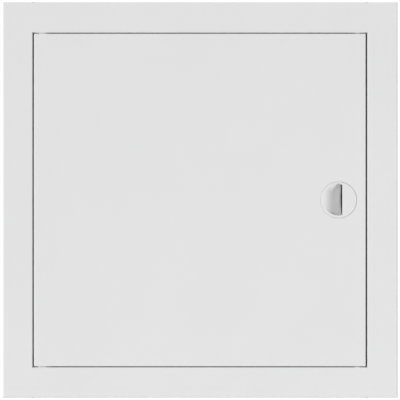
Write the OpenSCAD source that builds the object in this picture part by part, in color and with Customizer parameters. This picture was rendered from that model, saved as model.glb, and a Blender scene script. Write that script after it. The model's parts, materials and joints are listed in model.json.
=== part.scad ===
// Flush access panel: a folded steel frame for a square opening, a hinged steel
// door leaf that lies level with the frame's border, and a quarter-turn latch.
// Millimetres. X runs right, Y runs into the opening and Z runs up. The origin is
// the centre of the opening, in the plane that the border's lip rests on.

/* [Opening] */
// Clear width between the collar's walls
opening_w = 296; // [240:1:600]
// Clear height between the collar's walls
opening_h = 296; // [240:1:600]

/* [Frame] */
// Width of the border round the opening
flange_w = 27; // [20:0.5:40]
// Height of the border's face above the wall
lip_d = 5; // [4:0.5:8]
// Thickness of the folded sheet steel
sheet_t = 0.6; // [0.5:0.1:1]
// Inside radius of the folds
fold_r = 0.2; // [0.2:0.1:0.5]
// Inside radius of the fold along the border's outer edge
edge_fold_r = 0.5; // [0.3:0.1:2]
// Depth of the collar behind the stop rails
collar_tail_d = 11; // [9:0.5:40]
// Diameter of the fixing holes in the collar
fixing_hole_d = 5; // [3:0.5:6]
// Distance between the two fixing holes of a wall
fixing_pitch = 200; // [140:1:220]

/* [Stop rails] */
// Width of the ledge that the door closes against
ledge_w = 7; // [5:0.5:9]
// Depth of the rail's web on the collar, at the hinge side
rail_web_d = 8.6; // [8:0.1:14]
// Gap between the closed door and the ledge
stop_gap = 0.3; // [0.2:0.1:1]
// Distance between the two rivets of a rail
rail_rivet_pitch = 120; // [60:1:200]

/* [Door] */
// Gap between the collar and the door leaf's sides
side_gap = 1.1; // [1:0.1:2]
// Gap between the collar and the door leaf's ends
end_gap = 0.75; // [0.7:0.05:1.5]
// Depth of the door leaf's folded edges
door_d = 12; // [11:0.5:20]
// Width of the open seams at the corners of the folded edges
seam_w = 0.6; // [0.4:0.1:1.2]
// Distance of the stiffeners from the door's side edges
stiffener_inset = 55; // [54:1:90]
// Width of the stiffener's crown
hat_w = 12; // [9:0.5:14]
// Height of the stiffener's crown
hat_h = 8; // [7:0.5:10]
// Width of each of the stiffener's brims
brim_w = 6; // [4:0.5:8]

/* [Hinge] */
// Distance of the hinge axis from the door's side edge
hinge_inset = 7.4; // [7:0.1:9]
// Distance of the hinge axis behind the door's face
hinge_set_back = 4; // [3.8:0.1:4.3]
// Diameter of the hinge pins
pin_d = 4; // [3:0.5:4]
// Clearance all round a pin or a shank in its hole
fit = 0.05; // [0.03:0.01:0.1]
// Wall of the hinge bushes
bush_wall = 0.7; // [0.5:0.1:0.8]
// Diameter of the hinge bushes' flanges
bush_flange_d = 7; // [6.4:0.1:7.6]
// Length of the bushes outside the collar
bush_tail = 1.4; // [1:0.1:3]
// Running clearance between the door and what it turns on
run_gap = 0.15; // [0.1:0.05:0.3]
// Length of the upper pin's spring with the pin out
spring_l = 21; // [18:0.5:30]
// Wire of the upper pin's spring
spring_wire_d = 0.5; // [0.4:0.05:0.5]
// Turns of the upper pin's spring
spring_turns = 8; // [6:1:10]
// Reach of the upper pin's finger handle
handle_l = 16; // [14:0.5:24]
// Thickness of the pin brackets
bracket_t = 1.5; // [1:0.1:2]

/* [Latch] */
// Distance of the latch's axis from the door's side edge
latch_inset = 24.2; // [22:0.1:24.8]
// Diameter of the knob
knob_d = 32; // [30:0.5:34]
// Height of the knob's face above the door
knob_proud = 0.2; // [0:0.1:0.6]
// Rim between the knob's edge and the finger recess
knob_rim_w = 2; // [1.8:0.1:2.4]
// Depth of the finger recess
recess_d = 6; // [4.6:0.1:6.4]
// Distance of the recess's grip wall from the latch's axis
grip_offset = 3.2; // [2.6:0.1:4]
// Width of the slot at the foot of the grip wall
grip_slot_w = 1.35; // [1:0.05:1.5]
// Height of the grip wall, from the face down to the hollow behind it
grip_plate_t = 3.5; // [2:0.1:6]
// Slope of the recess's floor
ramp_angle = 30; // [26:1:36]
// Radius where the recess's floor rolls over into the face
ramp_shoulder_r = 16; // [10:0.5:18]
// Wall of the latch's housing
housing_wall = 1.5; // [1.2:0.1:2]
// Diameter of the knob's shank
shank_d = 12; // [11.5:0.5:13]
// Width of the square that carries the cam
square_w = 8; // [7:0.1:8]
// Reach of the cam from the latch's axis
cam_reach = 22; // [20:0.1:22.4]
// Width of the cam
cam_w = 14; // [12:0.5:16]
// Thickness of the cam
cam_t = 2; // [1.5:0.1:3]

/* [Hidden] */
$fn = 64;

// Colours
paint = [0.89, 0.89, 0.89];
nylon = [0.93, 0.93, 0.91];
knob_plastic = [0.89, 0.89, 0.89];
zinc = [0.72, 0.73, 0.74];
aluminium = [0.78, 0.78, 0.79];
spring_steel = [0.45, 0.46, 0.48];

// Length by which a cut runs past the faces that it opens
over = 1;

// Frame and door planes
overall_w = opening_w + 2 * flange_w;
overall_h = opening_h + 2 * flange_w;
door_w = opening_w - 2 * side_gap;
door_h = opening_h - 2 * end_gap;
fold_out_r = fold_r + sheet_t;
front_y = -lip_d;
door_inner_y = front_y + sheet_t;
door_rear_y = front_y + door_d;

// Hinge axis, and the circle that the door's rear edge sweeps round it
hinge_x = -door_w / 2 + hinge_inset;
hinge_y = front_y + hinge_set_back;
sweep_r = norm([hinge_inset, door_rear_y - hinge_y]);
swing_clear = 0.5;

// Stop rails: the hinge rail stands behind the swept circle, and the end rails
// start where the circle has come forward of their ledges
ledge_y = door_rear_y + stop_gap;
hinge_ledge_y = hinge_y + sweep_r + swing_clear;
rail_back_y = hinge_ledge_y + rail_web_d;
ledge_sweep_x = sqrt(pow(sweep_r, 2) - pow(ledge_y - hinge_y, 2));
end_rail_start_x = hinge_x + ledge_sweep_x + swing_clear;
end_rail_end_x = opening_w / 2 - ledge_w;
hinge_ledge_w = end_rail_start_x + opening_w / 2;
collar_rear_y = rail_back_y + collar_tail_d;
fixing_y = rail_back_y + collar_tail_d / 2;

// Blind rivets
rivet_d = 3.2;
rivet_head_d = 6;
rivet_head_h = 1.1;
rivet_tail_d = 4.6;
rivet_tail_h = 2.2;
rivet_head_gap = 0.3;
rail_rivet_y = (hinge_ledge_y + sheet_t + rail_back_y) / 2;
stiffener_x = door_w / 2 - stiffener_inset;
stiffener_rivet_y = door_inner_y + hat_h / 2;

// Bushes and gap buffers
bush_bore_d = pin_d + 2 * fit;
bush_d = bush_bore_d + 2 * bush_wall;
bush_flange_t = end_gap - run_gap;
buffer_x = door_w / 2 - hinge_inset;
buffer_set_back = 2.7;
buffer_y = front_y + buffer_set_back;
buffer_head_d = 4.4;
buffer_head_t = end_gap - rivet_head_gap;
buffer_shank_d = 3;
buffer_barb_d = 3.8;
buffer_barb_h = 1.8;

// Upper pin: tip, collar, spring, shelf and finger handle, from the top down
pin_chamfer = 0.5;
pin_end_z = opening_h / 2 + sheet_t + bush_tail;
pin_shoulder_w = 0.85;
pin_collar_d = pin_d + 2 * pin_shoulder_w;
pin_collar_h = 1.5;
pin_collar_gap = 0.1;
pin_collar_z = door_h / 2 - sheet_t - pin_collar_gap - pin_collar_h;
upper_shelf_z = pin_collar_z - spring_l;
handle_drop = 10;
handle_z = upper_shelf_z - bracket_t - handle_drop;
handle_bend_r = 5;

// Lower pin and both brackets
lower_shelf_rise = 13;
lower_shelf_z = -door_h / 2 + lower_shelf_rise;
pin_head_d = pin_collar_d;
pin_head_h = 1.5;
bracket_fold_r = 1;
bracket_w = 9;
bracket_web_h = 16;
bracket_front_gap = 0.6;
bracket_x = -door_w / 2 + sheet_t;
bracket_margin = 3;
bracket_shelf_l = hinge_inset - sheet_t + pin_d / 2 + bracket_margin;

// Clearance all round the pins in the door's returns, where the brackets guide them
return_clear = 0.3;

// Spring wire as a tube along a helix
spring_fit = 0.1;
spring_r = pin_d / 2 + spring_fit + spring_wire_d / 2;
spring_steps = 14;
spring_sides = 6;

// Latch stack, from the cam forward: the cam passes behind the latch rail's ledge
latch_x = door_w / 2 - latch_inset;
cam_gap = 0.4;
cam_y = ledge_y + sheet_t + cam_gap;
disc_spring_t = 0.6;
disc_spring_h = 1.4;
disc_spring_d = 20;
housing_rear_y = cam_y - disc_spring_h - run_gap;
housing_floor_t = 1.5;
knob_rear_y = housing_rear_y - housing_floor_t - 2 * run_gap;
knob_face_y = front_y - knob_proud;
knob_depth = knob_rear_y - knob_face_y;
knob_edge_r = 0.3;
recess_r = knob_d / 2 - knob_rim_w;
knob_fit = 0.2;
latch_hole_r = knob_d / 2 + knob_fit;
housing_r = latch_hole_r + housing_wall;
shank_fit = 0.1;
slot_floor_t = 1.2;

// Finger recess, measured from the knob's axis and down from its face
ramp_foot_x = grip_offset - grip_slot_w;
ramp_top = [
    ramp_foot_x - (recess_d - ramp_shoulder_r * (1 - cos(ramp_angle))) / tan(ramp_angle),
    ramp_shoulder_r * (1 - cos(ramp_angle))
];
ramp_start_x = ramp_top.x - ramp_shoulder_r * sin(ramp_angle);
grip_half_l = sqrt(pow(recess_r, 2) - pow(grip_offset, 2));
slot_taper = 0.5;
slot_r = (pow(grip_half_l, 2) + pow(slot_taper, 2)) / (2 * slot_taper);
hollow_wall = 2.9;
hollow_r = knob_d / 2 - hollow_wall;

// Stop peg on the knob's rear, in a quarter-turn slot of the housing's floor
peg_r = 1.4;
peg_offset = 4.5;
peg_orbit_r = shank_d / 2 + peg_offset;
peg_l = 1.5;
turn_angle = 90;

// Housing ears, their welded studs and nuts
ear_offset = 5;
ear_reach = housing_r + ear_offset;
ear_w = 9;
ear_t = 2;
rib_t = 1;
rib_h = 7;
rib_reach = 3.5;
stud_d = 3;
stud_l = 5.8;
nut_af = 5.5;
nut_h = 2.4;

// Cam square and the screw that holds the cam
square_fit = 0.05;
square_short = 0.1;
cam_hub_r = 9;
cam_washer_d = 11;
cam_washer_t = 1;
cam_screw_d = 4;
cam_screw_head_d = 8;
cam_screw_head_h = 2.6;
cam_screw_edge_r = 0.8;
cam_screw_end_gap = 0.4;
drive_w = 4;
drive_t = 1;
drive_depth = 1.4;

// Half of the opening, from the centre to the wall that a quarter turn brings round
function half_opening(turn) = turn % 180 == 0 ? opening_w / 2 : opening_h / 2;

// Outline of a bar whose two front corners are rounded
module rounded_front(w, d, r) {
    translate([-w / 2 + r, 0]) square([w - 2 * r, d]);
    translate([-w / 2, r]) square([w, d - r]);
    for (side = [-1, 1])
        translate([side * (w / 2 - r), r]) circle(r);
}

// Outline of a passage whose mouth rolls outwards
module flared_front(w, d, r) {
    translate([-w / 2, 0]) square([w, d]);
    difference() {
        translate([-w / 2 - r, -over]) square([w + 2 * r, over + r]);
        for (side = [-1, 1])
            translate([side * (w / 2 + r), r]) circle(r);
    }
}

// Block with all four front edges rounded
module rounded_block(w, h, d, r) {
    intersection() {
        linear_extrude(h, center = true) rounded_front(w, d, r);
        rotate([0, -90, 0])
        linear_extrude(w, center = true) rounded_front(h, d, r);
    }
}

// Passage with a mouth that rolls outwards on all four sides
module flared_passage(w, h, d, r) {
    intersection() {
        linear_extrude(h + 2 * r, center = true) flared_front(w, d, r);
        rotate([0, -90, 0])
        linear_extrude(w + 2 * r, center = true) flared_front(h, d, r);
    }
}

// Folded tray, open at the back
module folded_tray(w, h, d, inner_r) {
    difference() {
        rounded_block(w, h, d, inner_r + sheet_t);
        translate([0, sheet_t, 0])
        rounded_block(w - 2 * sheet_t, h - 2 * sheet_t, d, inner_r);
    }
}

// Rectangle with its corner at the origin rounded
module corner_outline(w, d, r) {
    translate([r, 0]) square([w - r, d]);
    translate([0, r]) square([w, d - r]);
    translate([r, r]) circle(r);
}

// Section of sheet folded into an L
module folded_angle(w, d, t, inner_r) {
    difference() {
        corner_outline(w, d, inner_r + t);
        translate([t, t]) corner_outline(w, d, inner_r);
    }
}

// Low domed rivet: its head lies below Z = 0 and its shank runs up through the grip
module rivet(grip, head_h) {
    dome_r = (pow(rivet_head_d / 2, 2) + pow(head_h, 2)) / (2 * head_h);
    rotate_extrude()
    intersection() {
        translate([0, dome_r - head_h]) circle(dome_r);
        translate([0, -head_h]) square([rivet_head_d / 2, head_h]);
    }
    translate([0, 0, -head_h / 2]) cylinder(d = rivet_d, h = head_h / 2 + grip + rivet_tail_h);
    translate([0, 0, grip]) cylinder(d1 = rivet_tail_d, d2 = rivet_d, h = rivet_tail_h);
}

module rivet_hole() {
    cylinder(d = rivet_d + 2 * fit, h = 4 * (sheet_t + over), center = true);
}

// Places children on the inner walls of the collar, with their Z axis pointing out
module at_rail_rivets(turns) {
    for (turn = turns, side = [-1, 1])
        rotate([0, turn, 0])
        translate([-half_opening(turn), rail_rivet_y, side * rail_rivet_pitch / 2])
        rotate([0, -90, 0])
        children();
}

// Places children on the ends of the door, with their Z axis pointing inwards
module at_stiffener_rivets() {
    for (turn = [0, 180], side = [-1, 1])
        rotate([0, turn, 0])
        translate([side * stiffener_x, stiffener_rivet_y, door_h / 2])
        rotate([180, 0, 0])
        children();
}

// Places children on the latch's axis at a depth, with their Z axis pointing back
module on_latch_axis(y) {
    translate([latch_x, y, 0]) rotate([-90, 0, 0]) children();
}

// Places children at the two ears of the latch's housing
module at_ears(y) {
    on_latch_axis(y)
    for (side = [-1, 1])
        translate([0, side * ear_reach, 0]) children();
}

// Places children at the top and the bottom wall of the collar, Z pointing out
module at_both_ends(x, y) {
    for (turn = [0, 1])
        mirror([0, 0, turn]) translate([x, y, opening_h / 2]) children();
}

// Two rows of fixing holes, each through a pair of facing walls
module fixing_holes() {
    for (turn = [0, 90], side = [-1, 1])
        rotate([0, turn, 0])
        translate([side * fixing_pitch / 2, fixing_y, 0])
        cylinder(d = fixing_hole_d, h = 2 * half_opening(turn + 90) + 2 * (sheet_t + over), center = true);
}

module frame() {
    collar_d = collar_rear_y - door_inner_y;
    color(paint)
    difference() {
        union() {
            translate([0, front_y, 0]) folded_tray(overall_w, overall_h, lip_d, edge_fold_r);
            translate([0, door_inner_y - sheet_t / 2 + (collar_d + sheet_t / 2) / 2, 0])
            cube([opening_w + 2 * sheet_t, collar_d + sheet_t / 2, opening_h + 2 * sheet_t], center = true);
        }
        translate([0, front_y, 0])
        flared_passage(opening_w, opening_h, collar_rear_y - front_y + over, fold_out_r);
        fixing_holes();
        at_rail_rivets([0, 90, 180, 270]) rivet_hole();
        at_both_ends(hinge_x, hinge_y)
        cylinder(d = bush_d + 2 * fit, h = 2 * (sheet_t + over), center = true);
        at_both_ends(buffer_x, buffer_y)
        cylinder(d = buffer_shank_d + 2 * fit, h = 2 * (sheet_t + over), center = true);
    }
}

// Stop rail on the left wall, turned to the wall that it belongs to
module stop_rail(turn, start, end, ledge, y) {
    difference() {
        rotate([0, turn, 0])
        translate([-half_opening(turn), y, start])
        linear_extrude(end - start) folded_angle(ledge, rail_back_y - y, sheet_t, fold_r);
        at_rail_rivets([turn]) rivet_hole();
    }
}

module end_rail() {
    stop_rail(90, end_rail_start_x, end_rail_end_x, ledge_w, ledge_y);
}

module top_rail() {
    color(paint) end_rail();
}

module bottom_rail() {
    color(paint) mirror([0, 0, 1]) end_rail();
}

module latch_rail() {
    color(paint) stop_rail(180, -opening_h / 2, opening_h / 2, ledge_w, ledge_y);
}

module hinge_rail() {
    color(paint) stop_rail(0, -opening_h / 2, opening_h / 2, hinge_ledge_w, hinge_ledge_y);
}

module rail_rivets() {
    color(aluminium)
    at_rail_rivets([0, 90, 180, 270])
    translate([0, 0, -sheet_t]) rivet(2 * sheet_t, rivet_head_h);
}

// Flanged bush in the collar's top wall
module hinge_bush() {
    translate([hinge_x, hinge_y, opening_h / 2])
    difference() {
        union() {
            translate([0, 0, -bush_flange_t]) cylinder(d = bush_flange_d, h = bush_flange_t);
            cylinder(d = bush_d, h = sheet_t + bush_tail);
        }
        translate([0, 0, -bush_flange_t - over])
        cylinder(d = bush_bore_d, h = bush_flange_t + sheet_t + bush_tail + 2 * over);
    }
}

module upper_hinge_bush() {
    color(nylon) hinge_bush();
}

module lower_hinge_bush() {
    color(nylon) mirror([0, 0, 1]) hinge_bush();
}

// Push-in studs that keep the door's free side centred in the opening
module gap_buffers() {
    color(nylon)
    at_both_ends(buffer_x, buffer_y) {
        translate([0, 0, -buffer_head_t]) cylinder(d = buffer_head_d, h = buffer_head_t);
        cylinder(d = buffer_shank_d, h = sheet_t + buffer_barb_h);
        translate([0, 0, sheet_t]) cylinder(d1 = buffer_barb_d, d2 = buffer_shank_d, h = buffer_barb_h);
    }
}

// Open seams where the door's end returns stop short of its side returns
module corner_seams() {
    seam_x = door_w / 2 - sheet_t - seam_w;
    for (end = [0, 1], side = [0, 1])
        mirror([0, 0, end])
        mirror([side, 0, 0])
        translate([seam_x, front_y + fold_out_r + seam_w, door_h / 2 - sheet_t - over])
        cube([seam_w, door_d, sheet_t + 2 * over]);
}

module door_leaf() {
    pin_hole_h = 4 * (sheet_t + over);
    color(paint)
    difference() {
        translate([0, front_y, 0]) folded_tray(door_w, door_h, door_d, fold_r);
        on_latch_axis(front_y) cylinder(r = latch_hole_r, h = 2 * (sheet_t + over), center = true);
        at_stiffener_rivets() rivet_hole();
        corner_seams();
        for (side = [-1, 1])
            translate([hinge_x, hinge_y, side * door_h / 2])
            cylinder(d = pin_d + 2 * return_clear, h = pin_hole_h, center = true);
    }
}

// Outline of the stiffener's crown, standing on the door's face
module crown_outline(w, h, r) {
    translate([0, h]) mirror([0, 1]) rounded_front(w, h, r);
}

// Hat-section stiffener, with its ends closed by tabs that lie on the door's returns
module stiffener(x) {
    tab_foot = fold_r + fit;
    inner_h = door_h - 2 * sheet_t;
    difference() {
        translate([x, door_inner_y, 0]) {
            linear_extrude(inner_h - 2 * tab_foot, center = true)
            difference() {
                union() {
                    translate([-hat_w / 2 - brim_w, 0]) square([hat_w + 2 * brim_w, sheet_t]);
                    crown_outline(hat_w, hat_h, fold_out_r);
                }
                translate([0, -over])
                crown_outline(hat_w - 2 * sheet_t, hat_h - sheet_t + over, fold_r);
            }
            for (turn = [0, 1])
                mirror([0, 0, turn])
                translate([0, 0, inner_h / 2 - sheet_t])
                linear_extrude(sheet_t)
                intersection() {
                    crown_outline(hat_w, hat_h, fold_out_r);
                    translate([-hat_w / 2, tab_foot]) square([hat_w, hat_h]);
                }
        }
        at_stiffener_rivets() rivet_hole();
    }
}

module left_stiffener() {
    color(paint) stiffener(-stiffener_x);
}

module right_stiffener() {
    color(paint) stiffener(stiffener_x);
}

module stiffener_rivets() {
    color(aluminium) at_stiffener_rivets() rivet(2 * sheet_t, end_gap - rivet_head_gap);
}

// Folded bracket on the hinge-side return: a web below a shelf that carries a pin
module pin_bracket(shelf_z) {
    difference() {
        translate([bracket_x, door_inner_y + bracket_front_gap + bracket_w, shelf_z])
        rotate([90, 0, 0])
        mirror([0, 1, 0])
        linear_extrude(bracket_w)
        folded_angle(bracket_shelf_l, bracket_web_h, bracket_t, bracket_fold_r);
        translate([hinge_x, hinge_y, shelf_z])
        cylinder(d = bush_bore_d, h = 2 * (bracket_t + over), center = true);
    }
}

module upper_pin_bracket() {
    color(paint) pin_bracket(upper_shelf_z);
}

module lower_pin_bracket() {
    color(paint) mirror([0, 0, 1]) pin_bracket(-lower_shelf_z);
}

// Pin tip with a chamfer, its top at Z = 0
module pin_tip() {
    translate([0, 0, -pin_chamfer]) cylinder(d1 = pin_d, d2 = pin_d - 2 * pin_chamfer, h = pin_chamfer);
}

// Headed pin that stands in the lower bracket and the door's lower return
module lower_hinge_pin() {
    color(zinc)
    translate([hinge_x, hinge_y, 0])
    mirror([0, 0, 1]) {
        translate([0, 0, -lower_shelf_z]) cylinder(d = pin_d, h = pin_end_z + lower_shelf_z - pin_chamfer);
        translate([0, 0, pin_end_z]) pin_tip();
        translate([0, 0, -lower_shelf_z - bracket_t - pin_head_h])
        cylinder(d = pin_head_d, h = pin_head_h);
        translate([0, 0, -lower_shelf_z - bracket_t - over / 2])
        cylinder(d = pin_d, h = bracket_t + over);
    }
}

// Spring-loaded pin with its lower end bent into a finger handle
module upper_hinge_pin() {
    color(zinc)
    translate([hinge_x, hinge_y, 0]) {
        translate([0, 0, pin_end_z]) pin_tip();
        translate([0, 0, handle_z + handle_bend_r])
        cylinder(d = pin_d, h = pin_end_z - pin_chamfer - handle_z - handle_bend_r);
        translate([handle_bend_r, 0, handle_z + handle_bend_r])
        rotate([90, 0, 0])
        rotate([0, 0, 180])
        rotate_extrude(angle = 90) translate([handle_bend_r, 0]) circle(d = pin_d);
        translate([handle_bend_r, 0, handle_z])
        rotate([0, 90, 0]) cylinder(d = pin_d, h = handle_l - handle_bend_r);
        translate([handle_l, 0, handle_z]) sphere(d = pin_d);
    }
}

// Collar on the upper pin that the spring pushes against the door's return
module pin_collar() {
    color(zinc)
    translate([hinge_x, hinge_y, pin_collar_z])
    difference() {
        cylinder(d = pin_collar_d, h = pin_collar_h);
        translate([0, 0, -over]) cylinder(d = pin_d + 2 * fit, h = pin_collar_h + 2 * over);
    }
}

// Point of the spring's wire: step counts along the helix, side counts round the wire
function spring_point(step, side) =
    let (
        turn = 360 * step / spring_steps,
        round_wire = 360 * side / spring_sides,
        reach = spring_r + spring_wire_d / 2 * cos(round_wire),
        rise = (spring_l - spring_wire_d) * step / (spring_steps * spring_turns)
    )
    [
        reach * cos(turn),
        reach * sin(turn),
        rise + spring_wire_d / 2 * (1 + sin(round_wire))
    ];

module pin_spring() {
    steps = spring_steps * spring_turns;
    points = [for (step = [0 : steps], side = [0 : spring_sides - 1]) spring_point(step, side)];
    walls = [
        for (step = [0 : steps - 1], side = [0 : spring_sides - 1])
            let (next = (side + 1) % spring_sides, here = step * spring_sides, ahead = here + spring_sides)
            [here + side, ahead + side, ahead + next, here + next]
    ];
    first_end = [for (side = [0 : spring_sides - 1]) side];
    last_end = [for (side = [spring_sides - 1 : -1 : 0]) steps * spring_sides + side];
    color(spring_steel)
    translate([hinge_x, hinge_y, upper_shelf_z])
    polyhedron(points, concat(walls, [first_end, last_end]));
}

// Quarter-turn slot for the knob's stop peg, as an arc with round ends
module peg_slot(r) {
    rotate([0, 0, -turn_angle])
    rotate_extrude(angle = turn_angle)
    translate([peg_orbit_r - r, 0]) square([2 * r, housing_floor_t + 2 * over]);
    for (turn = [0, turn_angle])
        rotate([0, 0, -turn])
        translate([peg_orbit_r, 0, 0]) cylinder(r = r, h = housing_floor_t + 2 * over);
}

// Two gusset ribs that run from the cup's wall down to one ear
module ear_ribs() {
    for (side = [0, 1])
        mirror([side, 0, 0])
        translate([ear_w / 2, 0, 0])
        rotate([0, -90, 0])
        linear_extrude(rib_t)
        polygon([
            [0, housing_r - housing_wall / 2],
            [rib_h, housing_r - housing_wall / 2],
            [ear_t, housing_r + rib_reach],
            [0, housing_r + rib_reach]
        ]);
}

// Cup behind the door that the knob turns in, with a ribbed ear above and below
module latch_housing() {
    depth = housing_rear_y - door_inner_y;
    color(nylon)
    difference() {
        on_latch_axis(door_inner_y)
        difference() {
            union() {
                cylinder(r = housing_r, h = depth);
                translate([-ear_w / 2, -ear_reach, 0]) cube([ear_w, 2 * ear_reach, ear_t]);
                for (side = [0, 1])
                    mirror([0, side, 0]) {
                        translate([0, ear_reach, 0]) cylinder(d = ear_w, h = ear_t);
                        ear_ribs();
                    }
            }
            translate([0, 0, -over]) cylinder(r = latch_hole_r, h = depth - housing_floor_t + over);
            cylinder(d = shank_d + 2 * shank_fit, h = depth + over);
            translate([0, 0, depth - housing_floor_t - over]) peg_slot(peg_r + knob_fit);
        }
        at_ears(door_inner_y) cylinder(d = stud_d + 2 * fit, h = 2 * (ear_t + over), center = true);
    }
}

module latch_studs() {
    color(zinc) at_ears(door_inner_y) cylinder(d = stud_d, h = stud_l);
}

module latch_nuts() {
    color(zinc)
    at_ears(door_inner_y + ear_t)
    difference() {
        cylinder(d = nut_af / cos(30), h = nut_h, $fn = 6);
        translate([0, 0, -over]) cylinder(d = stud_d + 2 * fit, h = nut_h + 2 * over);
    }
}

// Section of the finger recess: a shoulder, a sloping floor and an upright grip wall
module recess_section() {
    difference() {
        polygon([
            [ramp_start_x, -over],
            [grip_offset, -over],
            [grip_offset, recess_d],
            [ramp_foot_x, recess_d],
            ramp_top,
            [ramp_start_x, 0]
        ]);
        translate([ramp_start_x, ramp_shoulder_r]) circle(ramp_shoulder_r);
    }
}

// Half-moon finger recess, with a slot along the foot of its grip wall and a hollow
// behind that wall
module finger_recess() {
    slot_d = knob_depth - slot_floor_t;
    intersection() {
        translate([0, 0, -knob_d]) linear_extrude(2 * knob_d) recess_section();
        rotate([-90, 0, 0])
        translate([0, 0, -over]) cylinder(r = recess_r, h = knob_depth);
        translate([grip_offset - knob_d, -over, -knob_d]) cube([knob_d, knob_depth, 2 * knob_d]);
    }
    intersection() {
        translate([grip_offset - grip_slot_w, 0, -grip_half_l])
        cube([grip_slot_w, slot_d, 2 * grip_half_l]);
        translate([grip_offset - grip_slot_w + slot_r, -over, 0])
        rotate([-90, 0, 0]) cylinder(r = slot_r, h = knob_depth + over);
    }
    intersection() {
        translate([grip_offset - grip_slot_w / 2, grip_plate_t, -knob_d / 2])
        cube([knob_d / 2, slot_d - grip_plate_t, knob_d]);
        rotate([-90, 0, 0]) cylinder(r = hollow_r, h = knob_depth);
    }
}

module knob_section() {
    square([knob_d / 2 - knob_edge_r, knob_depth]);
    translate([0, knob_edge_r]) square([knob_d / 2, knob_depth - knob_edge_r]);
    translate([knob_d / 2 - knob_edge_r, knob_edge_r]) circle(knob_edge_r);
    square([shank_d / 2, cam_y - knob_face_y]);
}

module latch_knob() {
    square_end = cam_y + cam_t - square_short;
    color(knob_plastic)
    difference() {
        union() {
            on_latch_axis(knob_face_y) rotate_extrude() knob_section();
            translate([latch_x - square_w / 2, knob_rear_y, -square_w / 2])
            cube([square_w, square_end - knob_rear_y, square_w]);
            on_latch_axis(knob_rear_y - over)
            translate([peg_orbit_r, 0, 0]) cylinder(r = peg_r, h = peg_l + over);
        }
        translate([latch_x, knob_face_y, 0]) finger_recess();
        on_latch_axis(knob_rear_y)
        cylinder(d = cam_screw_d + 2 * fit, h = square_end - knob_rear_y + over);
    }
}

// Conical disc spring that presses the knob into its housing and steadies the turn
module spring_washer() {
    inner_r = shank_d / 2 + shank_fit;
    color(spring_steel)
    on_latch_axis(cam_y - disc_spring_h)
    rotate_extrude()
    polygon([
        [disc_spring_d / 2, 0],
        [disc_spring_d / 2, disc_spring_t],
        [inner_r, disc_spring_h],
        [inner_r, disc_spring_h - disc_spring_t]
    ]);
}

// Cam plate that points down at rest and swings behind the latch rail
module latch_cam() {
    color(zinc)
    on_latch_axis(cam_y)
    difference() {
        union() {
            cylinder(r = cam_hub_r, h = cam_t);
            translate([-cam_w / 2, 0, 0]) cube([cam_w, cam_reach - cam_w / 2, cam_t]);
            translate([0, cam_reach - cam_w / 2, 0]) cylinder(d = cam_w, h = cam_t);
        }
        cube([square_w + 2 * square_fit, square_w + 2 * square_fit, 3 * cam_t], center = true);
    }
}

module cam_washer() {
    color(zinc)
    on_latch_axis(cam_y + cam_t)
    difference() {
        cylinder(d = cam_washer_d, h = cam_washer_t);
        translate([0, 0, -over]) cylinder(d = cam_screw_d + 2 * fit, h = cam_washer_t + 2 * over);
    }
}

// Pan-head screw with a cross drive
module cam_screw() {
    head_y = cam_y + cam_t + cam_washer_t;
    tip_y = knob_rear_y + cam_screw_end_gap;
    color(zinc) {
        on_latch_axis(tip_y) cylinder(d = cam_screw_d, h = head_y - tip_y + over);
        on_latch_axis(head_y)
        difference() {
            rotate_extrude() {
                square([cam_screw_head_d / 2 - cam_screw_edge_r, cam_screw_head_h]);
                square([cam_screw_head_d / 2, cam_screw_head_h - cam_screw_edge_r]);
                translate([cam_screw_head_d / 2 - cam_screw_edge_r, cam_screw_head_h - cam_screw_edge_r])
                circle(cam_screw_edge_r);
            }
            translate([0, 0, cam_screw_head_h - drive_depth])
            for (turn = [0, 90])
                rotate([0, 0, turn])
                translate([-drive_w / 2, -drive_t / 2, 0]) cube([drive_w, drive_t, drive_depth + over]);
        }
    }
}

frame();
top_rail();
bottom_rail();
latch_rail();
hinge_rail();
rail_rivets();
upper_hinge_bush();
lower_hinge_bush();
gap_buffers();
door_leaf();
left_stiffener();
right_stiffener();
stiffener_rivets();
upper_pin_bracket();
lower_pin_bracket();
lower_hinge_pin();
pin_spring();
latch_housing();
latch_studs();
latch_nuts();
upper_hinge_pin();
pin_collar();
latch_knob();
spring_washer();
latch_cam();
cam_washer();
cam_screw();
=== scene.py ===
"""Looks of a flush access panel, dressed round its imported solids.

Powder-coated sheet steel, zinc-plated hardware, nylon bushes and a painted plastic latch.
Places are in metres, in the frame of the solids: X right, Y into the opening, Z up.
Sizes of the small pieces are in mm, as in the source of the solids.
"""
import json
import math

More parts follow.
